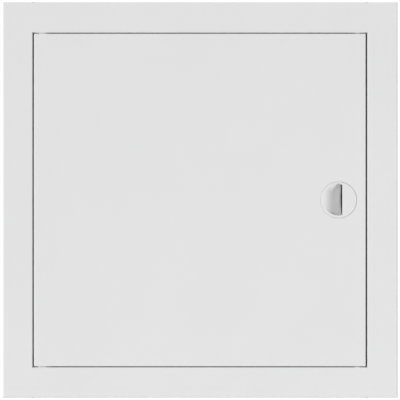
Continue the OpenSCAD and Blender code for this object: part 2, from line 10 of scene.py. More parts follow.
import bmesh
import bpy
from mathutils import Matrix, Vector


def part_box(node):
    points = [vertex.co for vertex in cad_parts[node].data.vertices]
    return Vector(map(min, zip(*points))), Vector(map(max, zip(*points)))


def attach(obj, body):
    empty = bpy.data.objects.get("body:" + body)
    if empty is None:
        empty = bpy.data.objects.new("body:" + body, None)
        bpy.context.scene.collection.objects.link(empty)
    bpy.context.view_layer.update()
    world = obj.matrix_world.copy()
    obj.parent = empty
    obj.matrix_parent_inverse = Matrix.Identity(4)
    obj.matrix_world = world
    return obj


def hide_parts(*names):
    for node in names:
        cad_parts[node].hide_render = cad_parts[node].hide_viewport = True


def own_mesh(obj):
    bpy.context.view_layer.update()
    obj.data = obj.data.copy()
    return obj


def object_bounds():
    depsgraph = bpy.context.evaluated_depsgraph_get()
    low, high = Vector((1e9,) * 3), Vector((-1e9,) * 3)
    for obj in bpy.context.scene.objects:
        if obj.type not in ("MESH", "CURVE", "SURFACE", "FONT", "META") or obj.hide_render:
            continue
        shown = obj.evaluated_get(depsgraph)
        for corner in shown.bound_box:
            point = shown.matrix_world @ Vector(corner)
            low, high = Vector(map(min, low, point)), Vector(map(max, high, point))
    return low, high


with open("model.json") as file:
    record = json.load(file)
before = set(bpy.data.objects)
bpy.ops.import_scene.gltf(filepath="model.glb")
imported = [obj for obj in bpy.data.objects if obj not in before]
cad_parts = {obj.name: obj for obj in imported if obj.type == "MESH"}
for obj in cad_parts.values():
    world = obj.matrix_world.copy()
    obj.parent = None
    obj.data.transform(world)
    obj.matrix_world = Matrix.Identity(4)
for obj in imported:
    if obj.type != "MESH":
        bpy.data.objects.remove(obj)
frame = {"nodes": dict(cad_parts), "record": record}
CAD_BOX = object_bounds()
NODES = frame["nodes"]
NODES_BOX = {name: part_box(name) for name in NODES}
RECORD = frame["record"]

MM = 0.001
INTO_OPENING = Vector((0, 1, 0))

# Photograph's frame, and how wide the panel is in it
FRAME_PX = 400
PANEL_PX = 395.5

# Straight-on view through a long lens
VIEW_DISTANCE = 8.0
SENSOR_MM = 36


def make_camera():
    low, high = NODES_BOX["frame"]
    centre = (low + high) / 2
    view_width = (high.x - low.x) * FRAME_PX / PANEL_PX
    data = bpy.data.cameras.new("camera")
    data.sensor_width = SENSOR_MM
    data.lens = SENSOR_MM * VIEW_DISTANCE / view_width
    camera = bpy.data.objects.new("camera", data)
    camera.location = (centre.x, low.y - VIEW_DISTANCE, centre.z)
    camera.rotation_euler = (math.radians(90), 0, 0)
    bpy.context.scene.collection.objects.link(camera)
    bpy.context.scene.camera = camera


# Light and stage

WORLD_LIGHT = 0.36
WHITE = (1, 1, 1, 1)
FLOOR_ALBEDO = (0.8, 0.8, 0.8, 1)
FLOOR_ROUGHNESS = 0.9
FLOOR_SIZE = 7.0
FLOOR_GAP = 0.4

# Broad key light from the left: angles in degrees, strength in watts per square metre
KEY_TURN = 57
KEY_RISE = 7
KEY_SPREAD = 24
KEY_STRENGTH = 2.96

# Name, place, aim, size in metres and power in watts of each soft lamp
LAMPS = (
    ("rim_lamp", (1.7, 0.4, 1.0), (0, 0, 0), 1.2, 26),
    ("back_lamp", (-0.9, 1.8, 1.2), (0, 0, 0), 1.4, 16),
)


def make_world():
    """White where the camera, a reflection or a refraction sees it; soft light elsewhere."""
    world = bpy.data.worlds.new("studio")
    world.use_nodes = True
    tree = world.node_tree
    tree.nodes.clear()
    path = tree.nodes.new("ShaderNodeLightPath")
    seen = tree.nodes.new("ShaderNodeMath")
    seen.operation = "MAXIMUM"
    seen_all = tree.nodes.new("ShaderNodeMath")
    seen_all.operation = "MAXIMUM"
    tree.links.new(path.outputs["Is Camera Ray"], seen.inputs[0])
    tree.links.new(path.outputs["Is Glossy Ray"], seen.inputs[1])
    tree.links.new(seen.outputs[0], seen_all.inputs[0])
    tree.links.new(path.outputs["Is Transmission Ray"], seen_all.inputs[1])
    soft = tree.nodes.new("ShaderNodeBackground")
    soft.inputs["Color"].default_value = WHITE
    soft.inputs["Strength"].default_value = WORLD_LIGHT
    white = tree.nodes.new("ShaderNodeBackground")
    white.inputs["Color"].default_value = WHITE
    white.inputs["Strength"].default_value = 1
    choice = tree.nodes.new("ShaderNodeMixShader")
    tree.links.new(seen_all.outputs[0], choice.inputs["Fac"])
    tree.links.new(soft.outputs[0], choice.inputs[1])
    tree.links.new(white.outputs[0], choice.inputs[2])
    output = tree.nodes.new("ShaderNodeOutputWorld")
    tree.links.new(choice.outputs[0], output.inputs["Surface"])
    bpy.context.scene.world = world


def add_light(data, place, towards):
    lamp = bpy.data.objects.new(data.name, data)
    lamp.location = place
    lamp.rotation_mode = "QUATERNION"
    lamp.rotation_quaternion = Vector(towards).to_track_quat("-Z", "Y")
    bpy.context.scene.collection.objects.link(lamp)


def make_key():
    """A broad far light, so that both sides of the panel get the same."""
    turn = math.radians(KEY_TURN)
    rise = math.radians(KEY_RISE)
    data = bpy.data.lights.new("key_light", "SUN")
    data.angle = math.radians(KEY_SPREAD)
    data.energy = KEY_STRENGTH
    level = Vector((-math.sin(turn), -math.cos(turn), 0))
    source = level * math.cos(rise) + Vector((0, 0, math.sin(rise)))
    add_light(data, source, -source)


def make_lamps():
    for name, place, aim, size, power in LAMPS:
        data = bpy.data.lights.new(name, "AREA")
        data.shape = "DISK"
        data.size = size
        data.energy = power
        add_light(data, place, Vector(aim) - Vector(place))


def make_floor():
    half = FLOOR_SIZE / 2
    height = CAD_BOX[0].z - FLOOR_GAP
    mesh = bpy.data.meshes.new("floor")
    corners = [(-half, -half, height), (half, -half, height), (half, half, height), (-half, half, height)]
    mesh.from_pydata(corners, [], [(0, 1, 2, 3)])
    floor = bpy.data.objects.new("floor", mesh)
    bpy.context.scene.collection.objects.link(floor)
    material = bpy.data.materials.new("floor_paint")
    material.use_nodes = True
    shader = material.node_tree.nodes["Principled BSDF"]
    shader.inputs["Base Color"].default_value = FLOOR_ALBEDO
    shader.inputs["Roughness"].default_value = FLOOR_ROUGHNESS
    mesh.materials.append(material)


# Materials

# White paint of the sheet steel and of the knob
PAINT_DARK = (0.768, 0.769, 0.770)
PAINT_LIGHT = (0.782, 0.782, 0.782)
PAINT_SPECULAR = 0.45
# Depths, in metres, between which painted shade starts to darken the knob, deep in its slot
SLOT_SHADE_DEPTHS = (0.0009, 0.0016)
# Dark colour painted in as shade behind those depths
SLOT_PAINTED_SHADE = (0.035, 0.035, 0.036)
# Places, in metres, between which painted shade starts and ends in the upright gaps, and its tone
GAP_INNER = (0.1458, 0.1463)
GAP_OUTER = (0.1492, 0.1487)
GAP_FRONT = (-0.00499, -0.0048)
GAP_REAR = (0.0072, 0.0062)
# Darker tone painted into the upright gaps as shade
GAP_PAINTED_SHADE = (0.55, 0.55, 0.55)
# Part of a noise pattern's range that is spread over a colour or a roughness
PATTERN_LOW = 0.3
PATTERN_HIGH = 0.7


class Surface:
    """A material with one Principled shader and short helpers for its procedural detail."""

    def __init__(self, name):
        self.material = bpy.data.materials.new(name)
        self.material.use_nodes = True
        self.tree = self.material.node_tree
        self.shader = self.tree.nodes["Principled BSDF"]
        self.place = self.tree.nodes.new("ShaderNodeTexCoord").outputs["Object"]

    def set(self, **sockets):
        """Sets constant values on the shader's own sockets."""
        for name, value in sockets.items():
            self.shader.inputs[name.replace("_", " ")].default_value = value

    def noise(self, wavelength, detail=2.0):
        """Noise whose grains are about one wavelength, in metres, across."""
        texture = self.tree.nodes.new("ShaderNodeTexNoise")
        texture.inputs["Scale"].default_value = 1 / wavelength
        texture.inputs["Detail"].default_value = detail
        self.tree.links.new(self.place, texture.inputs["Vector"])
        return texture.outputs["Fac"]

    def math(self, operation, *values):
        """Result of an operation on one or two outputs."""
        node = self.tree.nodes.new("ShaderNodeMath")
        node.operation = operation
        for value, socket in zip(values, node.inputs):
            self.tree.links.new(value, socket)
        return node.outputs[0]

    def step(self, value, low, high):
        """Mask that goes softly from 0 to 1 while a value goes from low to high."""
        span = self.tree.nodes.new("ShaderNodeMapRange")
        span.interpolation_type = "SMOOTHSTEP"
        span.inputs["From Min"].default_value = low
        span.inputs["From Max"].default_value = high
        self.tree.links.new(value, span.inputs["Value"])
        return span.outputs["Result"]

    def parts(self):
        """X, Y and Z of the place, in metres."""
        node = self.tree.nodes.new("ShaderNodeSeparateXYZ")
        self.tree.links.new(self.place, node.inputs["Vector"])
        return node.outputs

    def depth(self, shallow, deep):
        """Mask that goes from 0 to 1 between two depths, in metres, behind the wall's plane."""
        return self.step(self.parts()["Y"], shallow, deep)

    def upright_gaps(self):
        """Mask of the edges and walls of the two upright gaps beside the door."""
        sideways = self.math("ABSOLUTE", self.parts()["X"])
        in_gap = self.math("MULTIPLY", self.step(sideways, *GAP_INNER), self.step(sideways, *GAP_OUTER))
        in_depth = self.math("MULTIPLY", self.depth(*GAP_FRONT), self.depth(*GAP_REAR))
        return self.math("MULTIPLY", in_gap, in_depth)

    def colour(self, pattern, dark, light):
        """Colour that runs from dark to light with a pattern."""
        ramp = self.tree.nodes.new("ShaderNodeValToRGB")
        first, last = ramp.color_ramp.elements
        first.position = PATTERN_LOW
        first.color = (*dark, 1)
        last.position = PATTERN_HIGH
        last.color = (*light, 1)
        self.tree.links.new(pattern, ramp.inputs["Fac"])
        self.tree.links.new(ramp.outputs["Color"], self.shader.inputs["Base Color"])

    def other_colour(self, mask, colour):
        """Another colour where a mask is 1, and the colour that is there already where it is 0."""
        base = self.shader.inputs["Base Color"]
        choice = self.tree.nodes.new("ShaderNodeMix")
        choice.data_type = "RGBA"
        self.tree.links.new(mask, choice.inputs["Factor"])
        self.tree.links.new(base.links[0].from_socket, choice.inputs["A"])
        choice.inputs["B"].default_value = (*colour, 1)
        self.tree.links.new(choice.outputs["Result"], base)

    def roughness(self, pattern, smooth, rough):
        """Roughness that runs between two values with a pattern."""
        span = self.tree.nodes.new("ShaderNodeMapRange")
        span.inputs["From Min"].default_value = PATTERN_LOW
        span.inputs["From Max"].default_value = PATTERN_HIGH
        span.inputs["To Min"].default_value = smooth
        span.inputs["To Max"].default_value = rough
        self.tree.links.new(pattern, span.inputs["Value"])
        self.tree.links.new(span.outputs["Result"], self.shader.inputs["Roughness"])

    def relief(self, *layers):
        """Bump from layers of (pattern, height in metres, strength)."""
        normal = None
        for pattern, height, strength in layers:
            bump = self.tree.nodes.new("ShaderNodeBump")
            bump.inputs["Distance"].default_value = height
            bump.inputs["Strength"].default_value = strength
            self.tree.links.new(pattern, bump.inputs["Height"])
            if normal is not None:
                self.tree.links.new(normal, bump.inputs["Normal"])
            normal = bump.outputs["Normal"]
        self.tree.links.new(normal, self.shader.inputs["Normal"])


def powder_coat():
    """Satin white powder coat: a faint orange peel, a barely uneven tone, painted shade in the upright
    gaps.
    """
    surface = Surface("powder_coat")
    surface.set(Specular_IOR_Level=PAINT_SPECULAR)
    surface.colour(surface.noise(0.09, 3), PAINT_DARK, PAINT_LIGHT)
    # Painted shade: the edges and walls of the upright gaps beside the door are darkened
    surface.other_colour(surface.upright_gaps(), GAP_PAINTED_SHADE)
    surface.roughness(surface.noise(0.004), 0.40, 0.50)
    surface.relief((surface.noise(0.0016), 0.00003, 0.35), (surface.noise(0.0004), 0.000008, 0.3))
    return surface.material


def knob_plastic():
    """White satin paint, with painted shade that darkens it deep in the grip slot."""
    surface = Surface("knob_plastic")
    surface.set(Specular_IOR_Level=PAINT_SPECULAR)
    surface.colour(surface.noise(0.012), PAINT_DARK, PAINT_LIGHT)
    # Painted shade: the knob turns dark behind a depth, deep in its grip slot
    surface.other_colour(surface.depth(*SLOT_SHADE_DEPTHS), SLOT_PAINTED_SHADE)
    surface.roughness(surface.noise(0.0008), 0.38, 0.48)
    surface.relief((surface.noise(0.0016), 0.00002, 0.3), (surface.noise(0.00035), 0.000006, 0.4))
    return surface.material


def nylon():
    """Milky nylon with a dry, slightly mottled surface."""
    surface = Surface("nylon")
    surface.set(Subsurface_Weight=0.12, Subsurface_Radius=(0.0015, 0.0013, 0.0011), Subsurface_Scale=1)
    surface.colour(surface.noise(0.005), (0.76, 0.755, 0.73), (0.80, 0.797, 0.78))
    surface.roughness(surface.noise(0.001), 0.46, 0.58)
    surface.relief((surface.noise(0.0005), 0.00001, 0.4))
    return surface.material


def zinc_plate():
    """Bright zinc: pale blue and straw clouds over a finely uneven metal."""
    surface = Surface("zinc_plate")
    surface.set(Metallic=1)
    surface.colour(surface.noise(0.007, 3), (0.46, 0.49, 0.53), (0.62, 0.615, 0.58))
    surface.roughness(surface.noise(0.003, 3), 0.27, 0.38)
    surface.relief((surface.noise(0.0012, 3), 0.000008, 0.35))
    return surface.material


def rivet_aluminium():
    """Plain upset aluminium, finely mottled."""
    surface = Surface("rivet_aluminium")
    surface.set(Metallic=1)
    surface.colour(surface.noise(0.002), (0.72, 0.72, 0.73), (0.82, 0.82, 0.82))
    surface.roughness(surface.noise(0.0006), 0.3, 0.46)
    surface.relief((surface.noise(0.0004), 0.00001, 0.4))
    return surface.material


def spring_steel():
    """Dark spring steel with an uneven film of oil."""
    surface = Surface("spring_steel")
    surface.set(Metallic=1)
    surface.colour(surface.noise(0.0015), (0.20, 0.205, 0.215), (0.34, 0.345, 0.355))
    surface.roughness(surface.noise(0.0007), 0.25, 0.4)
    surface.relief((surface.noise(0.0003), 0.000006, 0.4))
    return surface.material


MATERIALS = {
    "powder_coat": powder_coat(),
    "knob_plastic": knob_plastic(),
    "nylon": nylon(),
    "zinc_steel": zinc_plate(),
    "rivet_aluminium": rivet_aluminium(),
    "spring_steel": spring_steel(),
}


def dress_nodes():
    """Gives every solid the finish of its record's slot."""
    for part in RECORD["subparts"]:
        mesh = NODES[part["node"]].data
        mesh.materials.clear()
        mesh.materials.append(MATERIALS[part["material_slot"]])


# Tools for the pieces

ROUND = 48
SMALL_ROUND = 28
CREASE = math.radians(16)
SOFT_CREASE = math.radians(60)
SAME_POINT = 0.001 * MM


def mix(first, second, share):
    return first + (second - first) * share


def soft_step(low, high, value):
    share = min(max((value - low) / (high - low), 0), 1)
    return share * share * (3 - 2 * share)


def across(axis):
    """Two directions square to an axis and to each other."""
    first = Vector((0, 0, 1)) if abs(axis.z) < 0.5 else Vector((1, 0, 0))
    return first, axis.cross(first)


def circle(base, axis, radius, along, segments):
    """Points round an axis; radius and distance along it in mm, or a radius for each angle."""
    first, second = across(axis)
    points = []
    for index in range(segments):
        angle = math.tau * index / segments
        reach = radius(angle) if callable(radius) else radius
        outward = first * math.cos(angle) + second * math.sin(angle)
        points.append(base + (axis * along + outward * reach) * MM)
    return points


class Shape:
    """Points and faces of one piece, gathered shell by shell."""

    def __init__(self):
        self.points = []
        self.faces = []

    def ring(self, points):
        start = len(self.points)
        self.points.extend(points)
        return list(range(start, len(self.points)))

    def tube(self, rings, bored=False):
        """A closed shell through rings of as many points each: with two end caps, or bored through."""
        loops = [self.ring(points) for points in rings]
        pairs = list(zip(loops, loops[1:]))
        if bored:
            pairs.append((loops[-1], loops[0]))
        else:
            self.faces.append(tuple(reversed(loops[0])))
            self.faces.append(tuple(loops[-1]))
        for first, second in pairs:
            for index in range(len(first)):
                after = (index + 1) % len(first)
                self.faces.append((first[index], first[after], second[after], second[index]))

    def lathe(self, profile, base, axis, segments=SMALL_ROUND, bored=False):
        """A closed turned shell; the profile has (radius, distance along the axis) in mm."""
        self.tube([circle(base, axis, radius, along, segments) for radius, along in profile], bored)

    def mesh(self, name):
        mesh = bpy.data.meshes.new(name)
        mesh.from_pydata(self.points, [], self.faces)
        tidy = bmesh.new()
        tidy.from_mesh(mesh)
        bmesh.ops.recalc_face_normals(tidy, faces=tidy.faces)
        tidy.to_mesh(mesh)
        tidy.free()
        return mesh


def add_mesh(mesh, name, body, slot, crease):
    """Puts a mesh in the scene, on a body and with a slot's finish."""
    mesh.shade_smooth()
    mesh.set_sharp_from_angle(angle=crease)
    mesh.materials.append(MATERIALS[slot])
    piece = bpy.data.objects.new(name, mesh)
    bpy.context.scene.collection.objects.link(piece)
    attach(piece, body)
    return piece


def add_piece(shape, name, body, slot, crease=CREASE):
    return add_mesh(shape.mesh(name), name, body, slot, crease)


def solids_of(node):
    """Lowest and highest corner of each loose solid in a node."""
    mesh = bmesh.new()
    mesh.from_mesh(NODES[node].data)
    bmesh.ops.remove_doubles(mesh, verts=mesh.verts, dist=SAME_POINT)
    mesh.verts.ensure_lookup_table()
    left = set(range(len(mesh.verts)))
    boxes = []
    while left:
        waiting = [min(left)]
        left.discard(waiting[0])
        points = []
        while waiting:
            vertex = mesh.verts[waiting.pop()]
            points.append(vertex.co.copy())
            for edge in vertex.link_edges:
                other = edge.other_vert(vertex).index
                if other in left:
                    left.discard(other)
                    waiting.append(other)
        low = Vector(min(point[axis] for point in points) for axis in range(3))
        high = Vector(max(point[axis] for point in points) for axis in range(3))
        boxes.append((low, high))
    mesh.free()
    return boxes


def outward_axis(low, high):
    """Direction from the panel's middle out through a solid on its rim."""
    middle = (low + high) / 2
    if abs(middle.x) > abs(middle.z):
        return Vector((math.copysign(1, middle.x), 0, 0))
    return Vector((0, 0, math.copysign(1, middle.z)))


def span_along(low, high, axis):
    """Start of a solid along an axis, and its length there in mm."""
    length = abs((high - low).dot(axis))
    return (low + high) / 2 - axis * (length / 2), length / MM


def half_width(low, high):
    return (high.x - low.x) / 2 / MM


# Blind rivets: sizes in mm

RIVET_HEAD_R = 2.98
RIVET_SHANK_R = 1.6
RIVET_GRIP = 1.2
# Broken mandrel and its hole, outwards: radius, and depth as a share of the head's height
RIVET_HOLE = ((0.3, 0.45), (0.75, 0.495), (0.85, 0.585), (0.97, 0.63), (1.05, 0.12), (1.21, 0.02))
DOME_DROP = 0.86
DOME_STEPS = 6
HEAD_EDGE = 0.04
# Bulged tail, from the far sheet to the mandrel's end: radius and distance
RIVET_TAIL = (
    (2.0, 0), (2.3, 0.4), (2.3, 0.9), (1.95, 1.6), (1.25, 2.05),
    (1.05, 2.1), (0.85, 1.95), (0.5, 2.2), (0.2, 2.2),
)
RIVET_TAIL_H = RIVET_TAIL[-1][1]


def rivet_profile(head_h):
    """Domed head with a broken mandrel sunk in it, shank and bulged tail, from the head on."""
    foot = head_h + RIVET_GRIP
    crown_r, crown = RIVET_HOLE[-1]
    profile = [(radius, share * head_h) for radius, share in RIVET_HOLE]
    for step in range(1, DOME_STEPS + 1):
        reach = step / DOME_STEPS
        profile.append((mix(crown_r, RIVET_HEAD_R, reach), head_h * (crown + DOME_DROP * reach ** 2)))
    profile += [(RIVET_HEAD_R - HEAD_EDGE, head_h), (RIVET_SHANK_R, head_h), (RIVET_SHANK_R, foot)]
    profile += [(radius, foot + along) for radius, along in RIVET_TAIL]
    return profile


def make_rivets(node, body, heads_inward):
    shape = Shape()
    for low, high in solids_of(node):
        outward = outward_axis(low, high)
        axis = outward if heads_inward else -outward
        base, length = span_along(low, high, axis)
        shape.lathe(rivet_profile(length - RIVET_GRIP - RIVET_TAIL_H), base, axis)
    piece = add_piece(shape, node + "_turned", body, "rivet_aluminium")
    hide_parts(node)


# Welded studs and their nuts: sizes in mm

THREAD_PITCH = 0.5
THREAD_DEPTH = 0.3
THREAD_STEPS = 6
THREAD_CREASE = math.radians(50)
STUD_PLAIN_L = 0.3
STUD_END_CUT = 0.15
NUT_AF = 5.5
NUT_BORE_R = 1.62
NUT_BORE_CHAMFER = 0.22
# Chamfer of the nut's corners: first radius, then how it grows and rises at each step
NUT_CHAMFER_R = 2.62
NUT_CHAMFER_STEPS = 5
NUT_CHAMFER_GROWTH = 0.14
NUT_CHAMFER_RISE = 0.08


def thread_radius(outer_r, along):
    """Radius round a screw at a distance along it, for each angle."""
    def radius(angle):
        phase = (along / THREAD_PITCH - angle / math.tau) % 1
        return outer_r - THREAD_DEPTH * abs(2 * phase - 1)
    return radius


def make_studs():
    shape = Shape()
    for low, high in solids_of("latch_studs"):
        base, length = span_along(low, high, INTO_OPENING)
        outer_r = half_width(low, high)
        count = round((length - STUD_PLAIN_L) / THREAD_PITCH * THREAD_STEPS)
        profile = [(outer_r, 0)]
        for step in range(count + 1):
            along = mix(STUD_PLAIN_L, length, step / count)
            profile.append((thread_radius(outer_r, along), along))
        profile.append((outer_r - THREAD_DEPTH - STUD_END_CUT, length))
        shape.lathe(profile, base, INTO_OPENING)
    piece = add_piece(shape, "latch_studs_threaded", "door", "zinc_steel", THREAD_CREASE)
    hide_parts("latch_studs")


def polygon_radius(sides, half, limit):
    """Radius round a polygon with half its width across flats, cut to a limit; a flat at the start."""
    def radius(angle):
        part = math.tau / sides
        turned = (angle + part / 2) % part - part / 2
        return min(half / math.cos(turned), limit)
    return radius


def hex_radius(limit):
    """Radius round a hexagon with a corner at the start, cut to a chamfer's radius."""
    flat_first = polygon_radius(6, NUT_AF / 2, limit)
    return lambda angle: flat_first(angle + math.radians(30))


def make_nuts():
    shape = Shape()
    chamfer = [
        (step * NUT_CHAMFER_RISE, NUT_CHAMFER_R + step * NUT_CHAMFER_GROWTH)
        for step in range(NUT_CHAMFER_STEPS)
    ]
    for low, high in solids_of("latch_nuts"):
        base, height = span_along(low, high, INTO_OPENING)
        profile = [(NUT_BORE_R, 0)]
        profile += [(hex_radius(limit), along) for along, limit in chamfer]
        profile += [(hex_radius(limit), height - along) for along, limit in reversed(chamfer)]
        profile.append((NUT_BORE_R + NUT_BORE_CHAMFER, height))
        profile.append((NUT_BORE_R, height - NUT_BORE_CHAMFER))
        shape.lathe(profile, base, INTO_OPENING, ROUND)
    piece = add_piece(shape, "latch_nuts_chamfered", "door", "zinc_steel")
    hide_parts("latch_nuts")


# Moulded bushes and gap buffers: sizes in mm

COLLAR_T = 0.6
FLANGE_T = 0.6
FLANGE_CORNER = 1.24
BUSH_BORE_R = 2.05
BUSH_SLEEVE_R = 2.75
BUSH_LEAD = 0.25
HEAD_T = 0.45
STUD_R = 1.5
STUD_BARB_R = 1.9
MOULD_EDGE = 0.08


def square_radius(half):
    """Radius round a square with a flat at the start, its corners cut round."""
    return polygon_radius(4, half, half * FLANGE_CORNER)


def flange_profile(half, thick):
    """Square flange with a broken edge, from its free face to the collar."""
    return [
        (square_radius(half - MOULD_EDGE), 0),
        (square_radius(half), MOULD_EDGE),
        (square_radius(half), thick),
    ]


def make_bush(node):
    low, high = NODES_BOX[node]
    axis = outward_axis(low, high)
    base, length = span_along(low, high, axis)
    profile = [(BUSH_BORE_R, BUSH_LEAD), (BUSH_BORE_R + BUSH_LEAD, 0)]
    profile += flange_profile(half_width(low, high), FLANGE_T)
    profile += [
        (BUSH_SLEEVE_R, FLANGE_T), (BUSH_SLEEVE_R, length - BUSH_LEAD),
        (BUSH_SLEEVE_R - BUSH_LEAD, length), (BUSH_BORE_R, length),
    ]
    shape = Shape()
    shape.lathe(profile, base, axis, ROUND, bored=True)
    piece = add_piece(shape, node + "_moulded", "frame", "nylon")
    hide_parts(node)


def make_buffers():
    shape = Shape()
    through = HEAD_T + COLLAR_T
    for low, high in solids_of("gap_buffers"):
        axis = outward_axis(low, high)
        base, length = span_along(low, high, axis)
        profile = flange_profile(half_width(low, high), HEAD_T)
        profile += [
            (STUD_R, HEAD_T), (STUD_R, through), (STUD_BARB_R, through + MOULD_EDGE),
            (STUD_R, length - MOULD_EDGE), (STUD_R - MOULD_EDGE, length),
        ]
        shape.lathe(profile, base, axis, ROUND)
    piece = add_piece(shape, "gap_buffers_moulded", "frame", "nylon")
    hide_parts("gap_buffers")


# Pin spring: sizes in mm

WIRE_R = 0.25
SPRING_TURNS = 8
END_TURNS = 1
TURN_STEPS = 28
WIRE_SIDES = 12


def spring_rise(turns, height):
    """Height of the wire after some turns: the end turns lie closed, the rest are evenly spaced."""
    closed = 2 * WIRE_R * END_TURNS
    share = (turns - END_TURNS) / (SPRING_TURNS - 2 * END_TURNS)
    if share < 0:
        return 2 * WIRE_R * turns
    if share > 1:
        return height - 2 * WIRE_R * (SPRING_TURNS - turns)
    return mix(closed, height - closed, share)


def wire_ring(foot, turns, coil_r, rise):
    """Points round the spring's wire after some turns."""
    outward = Vector((math.cos(math.tau * turns), math.sin(math.tau * turns), 0))
    ring = []
    for side in range(WIRE_SIDES):
        angle = math.tau * side / WIRE_SIDES
        reach = coil_r + WIRE_R * math.cos(angle)
        height = rise + WIRE_R * math.sin(angle)
        ring.append(foot + (outward * reach + Vector((0, 0, height))) * MM)
    return ring


def make_spring():
    """Wound wire with closed end turns, in the place of the spring's solid."""
    low, high = NODES_BOX["pin_spring"]
    foot, length = span_along(low, high, Vector((0, 0, 1)))
    coil_r = half_width(low, high) - WIRE_R
    rings = []
    for step in range(SPRING_TURNS * TURN_STEPS + 1):
        turns = step / TURN_STEPS
        rise = WIRE_R + spring_rise(turns, length - 2 * WIRE_R)
        rings.append(wire_ring(foot, turns, coil_r, rise))
    shape = Shape()
    shape.tube(rings)
    piece = add_piece(shape, "pin_spring_wound", "door", "spring_steel", SOFT_CREASE)
    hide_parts("pin_spring")
    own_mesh(piece)


# Welds: sizes in mm

# Electrode mark, from its rim to its middle: radius and height over the sheet
SPOT_PROFILE = ((2.7, -0.05), (2.55, 0.03), (2.2, 0.12), (1.9, 0.1), (1.5, 0.03), (0.9, 0.02), (0.3, 0.04))
SPOT_STEP = 40
SPOT_COUNT = 7
BRIM_W = 6
# Bead along the collar's corners: its ends lie some way from the panel's front and rear
BEAD_R = 0.85
BEAD_PITCH = 1.3
BEAD_STEPS = 4
BEAD_RIPPLE = 0.2
BEAD_SIDES = 16
BEAD_TIP_R = 0.2
BEAD_TIP_L = 0.2
BEAD_FRONT = 6
BEAD_REAR = 2


def sheet_thickness():
    return NODES_BOX["left_stiffener"][0].y - NODES_BOX["door_leaf"][0].y


def make_spot_welds():
    """Rows of faint electrode marks that hold the stiffeners' brims to the door."""
    shape = Shape()
    for node in ("left_stiffener", "right_stiffener"):
        low, high = NODES_BOX[node]
        rear_y = low.y + sheet_thickness()
        for x in (low.x + BRIM_W * MM / 2, high.x - BRIM_W * MM / 2):
            for index in range(SPOT_COUNT):
                z = (index - (SPOT_COUNT - 1) / 2) * SPOT_STEP * MM
                shape.lathe(SPOT_PROFILE, Vector((x, rear_y, z)), INTO_OPENING)
    add_piece(shape, "spot_welds", "door", "powder_coat", SOFT_CREASE)


def bead_profile(count):
    """A bead with some ripples and a small tip at each end."""
    profile = [(BEAD_TIP_R, 0)]
    for step in range(count * BEAD_STEPS + 1):
        swell = abs(math.sin(math.pi * step / BEAD_STEPS))
        radius = BEAD_R * (1 - BEAD_RIPPLE + BEAD_RIPPLE * swell)
        profile.append((radius, BEAD_TIP_L + step * BEAD_PITCH / BEAD_STEPS))
    profile.append((BEAD_TIP_R, 2 * BEAD_TIP_L + count * BEAD_PITCH))
    return profile


def make_corner_welds():
    """Rippled weld beads down the collar's four corners, under the paint."""
    shape = Shape()
    reach = max(mount["pos_m"][0] for mount in RECORD["mounts"])
    low, high = NODES_BOX["frame"]
    start_y = low.y + BEAD_FRONT * MM
    count = int((high.y - start_y - BEAD_REAR * MM) / (BEAD_PITCH * MM))
    for side_x in (-1, 1):
        for side_z in (-1, 1):
            corner = Vector((side_x * reach, start_y, side_z * reach))
            shape.lathe(bead_profile(count), corner, INTO_OPENING, BEAD_SIDES)
    add_piece(shape, "corner_welds", "frame", "powder_coat", SOFT_CREASE)


# Latch knob: sizes in mm, from its axis and down from its face

KNOB_EDGE_R = 0.25
EDGE_STEPS = 4
CORE_R = 0.5
KNOB_REAR_D = 10.15
SHANK_R = 6
SHANK_D = 13.5
SQUARE_W = 8
PEG_R = 1.4
PEG_X = 10.5
PEG_L = 1.5
ROOT_L = 1
KNOB_CREASE = math.radians(12)
# Recess: edges below and above the axis, floor and grip wall
LOWER_EDGE_R = 13.65
UPPER_EDGE_R = 15.0
RECESS_D = 6
RAMP_ANGLE = math.radians(30)
SHOULDER_R = 16
FLOOR_EASE = 0.15
GRIP_X = 3.2
GRIP_WALL_D = 3.5
# Slot at the foot of the grip wall, and the hollow behind the wall
SLOT_W = 1.3
SLOT_TAPER = 0.7
SLOT_TOP_D = 2
SLOT_D = 8.95
HOLLOW_R = 13.1
OUTLINE_STEPS = 24
# Upper end of the recess: it curls round a far axis, and its edge softens to the left
CURL_X = 60
SOFT_R = 15.2
SOFT_EDGE_R = 11
SHARP_EDGE_R = 0.3
SOFT_FROM_X = -6
SHARP_FROM_X = 0
UPPER_LIMIT_R = 15.55
MERGE = 0.5
# Solid that cuts the recess: its lid over the face, its grid and how far that stays from the ends
LID_D = -1.2
CUTTER_ROWS = 128
CUTTER_COLUMNS = 72
CUTTER_LOW_INSET = 0.02
CUTTER_HIGH_INSET = 0.05


def ramp_depth(x):
    """Depth of the recess's floor: a slope that rolls over into the face."""
    foot_x = GRIP_X - SLOT_W
    rise = SHOULDER_R * (1 - math.cos(RAMP_ANGLE))
    top_x = foot_x - (RECESS_D - rise) / math.tan(RAMP_ANGLE)
    start_x = top_x - SHOULDER_R * math.sin(RAMP_ANGLE)
    if x > foot_x:
        return RECESS_D - FLOOR_EASE
    if x > top_x:
        share = (x - top_x) / (foot_x - top_x)
        return RECESS_D - (foot_x - x) * math.tan(RAMP_ANGLE) - FLOOR_EASE * share ** 2
    bend = x - start_x
    return math.copysign(SHOULDER_R - math.sqrt(SHOULDER_R ** 2 - min(bend ** 2, SHOULDER_R ** 2)), bend)


def edge_depth(x, z):
    """Depth that the recess's upper edge leaves, soft on the left and sharp at the slot."""
    sharp = soft_step(SOFT_FROM_X, SHARP_FROM_X, x)
    inside = mix(SOFT_R, UPPER_EDGE_R, sharp) - math.hypot(x, z)
    return math.copysign(inside ** 2 / (2 * mix(SOFT_EDGE_R, SHARP_EDGE_R, sharp)), inside)


